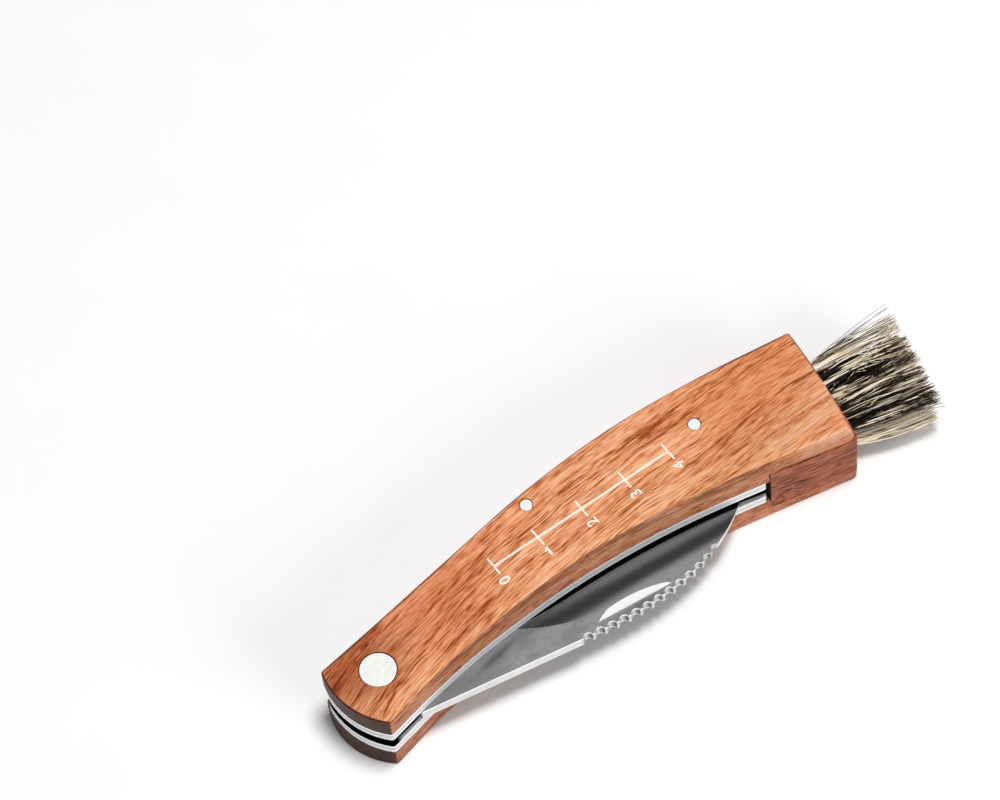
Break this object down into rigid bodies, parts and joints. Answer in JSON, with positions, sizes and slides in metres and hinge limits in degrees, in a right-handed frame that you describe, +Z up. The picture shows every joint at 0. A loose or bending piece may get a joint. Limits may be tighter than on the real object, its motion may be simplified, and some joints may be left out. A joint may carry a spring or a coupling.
{
  "type": "folding mushroom knife",
  "caption": "Folding mushroom knife with wooden scales on steel liners, a curved blade with a scalloped back that folds into the handle, and a bristle brush in the butt",
  "frame": {"origin": "Centre of the bottom of the closed knife's bounding box: the lower scale's flat face lies on z = 0.", "axes": "+X runs along the handle from the pivot end to the brush, +Y to the handle's back, where the spring is, and +Z up out of the upper scale, which bears the pivot rivet's sleeve head."},
  "size_m": [0.132, 0.0316, 0.0158],
  "materials": {
    "scale_wood": "oiled orange-brown hardwood with fine dark streaks along the handle",
    "block_wood": "redder, darker hardwood with long dark pores",
    "liner_steel": "bright satin steel",
    "blade_steel": "grey satin-ground steel",
    "rivet_steel": "pale, finely sanded nickel-steel",
    "washer_brass": "plain brass shim",
    "anchor_steel": "plain flat wire",
    "bristle": "mixed straw, grey and black boar bristle"
  },
  "bodies": {
    "handle": {"lower_scale": "scale_wood", "upper_scale": "scale_wood", "lower_liner": "liner_steel", "upper_liner": "liner_steel", "backspring": "liner_steel", "pivot_rivet_sleeve": "rivet_steel", "pivot_rivet_core": "rivet_steel", "spring_pin": "rivet_steel", "rear_pin": "rivet_steel", "lower_washer": "washer_brass", "upper_washer": "washer_brass", "butt_block": "block_wood", "tuft_anchor_01": "anchor_steel", "tuft_anchor_02": "anchor_steel", "tuft_anchor_03": "anchor_steel", "tuft_anchor_04": "anchor_steel", "tuft_anchor_05": "anchor_steel", "tuft_anchor_06": "anchor_steel", "tuft_anchor_07": "anchor_steel", "tuft_anchor_08": "anchor_steel", "tuft_anchor_09": "anchor_steel", "tuft_anchor_10": "anchor_steel", "tuft_anchor_11": "anchor_steel", "tuft_anchor_12": "anchor_steel", "tuft_anchor_13": "anchor_steel", "tuft_anchor_14": "anchor_steel", "brush_tuft_01": "bristle", "brush_tuft_02": "bristle", "brush_tuft_03": "bristle", "brush_tuft_04": "bristle", "brush_tuft_05": "bristle", "brush_tuft_06": "bristle", "brush_tuft_07": "bristle", "brush_tuft_08": "bristle", "brush_tuft_09": "bristle", "brush_tuft_10": "bristle", "brush_tuft_11": "bristle", "brush_tuft_12": "bristle", "brush_tuft_13": "bristle", "brush_tuft_14": "bristle"},
    "blade": {"blade": "blade_steel"}
  },
  "joints": [
    {"name": "blade_hinge", "type": "hinge", "parent": "handle", "child": "blade", "pos_m": [-0.05627, 0.00041, 0.0079], "axis": [0, 0, -1], "range_deg": [0, 165]}
  ]
}
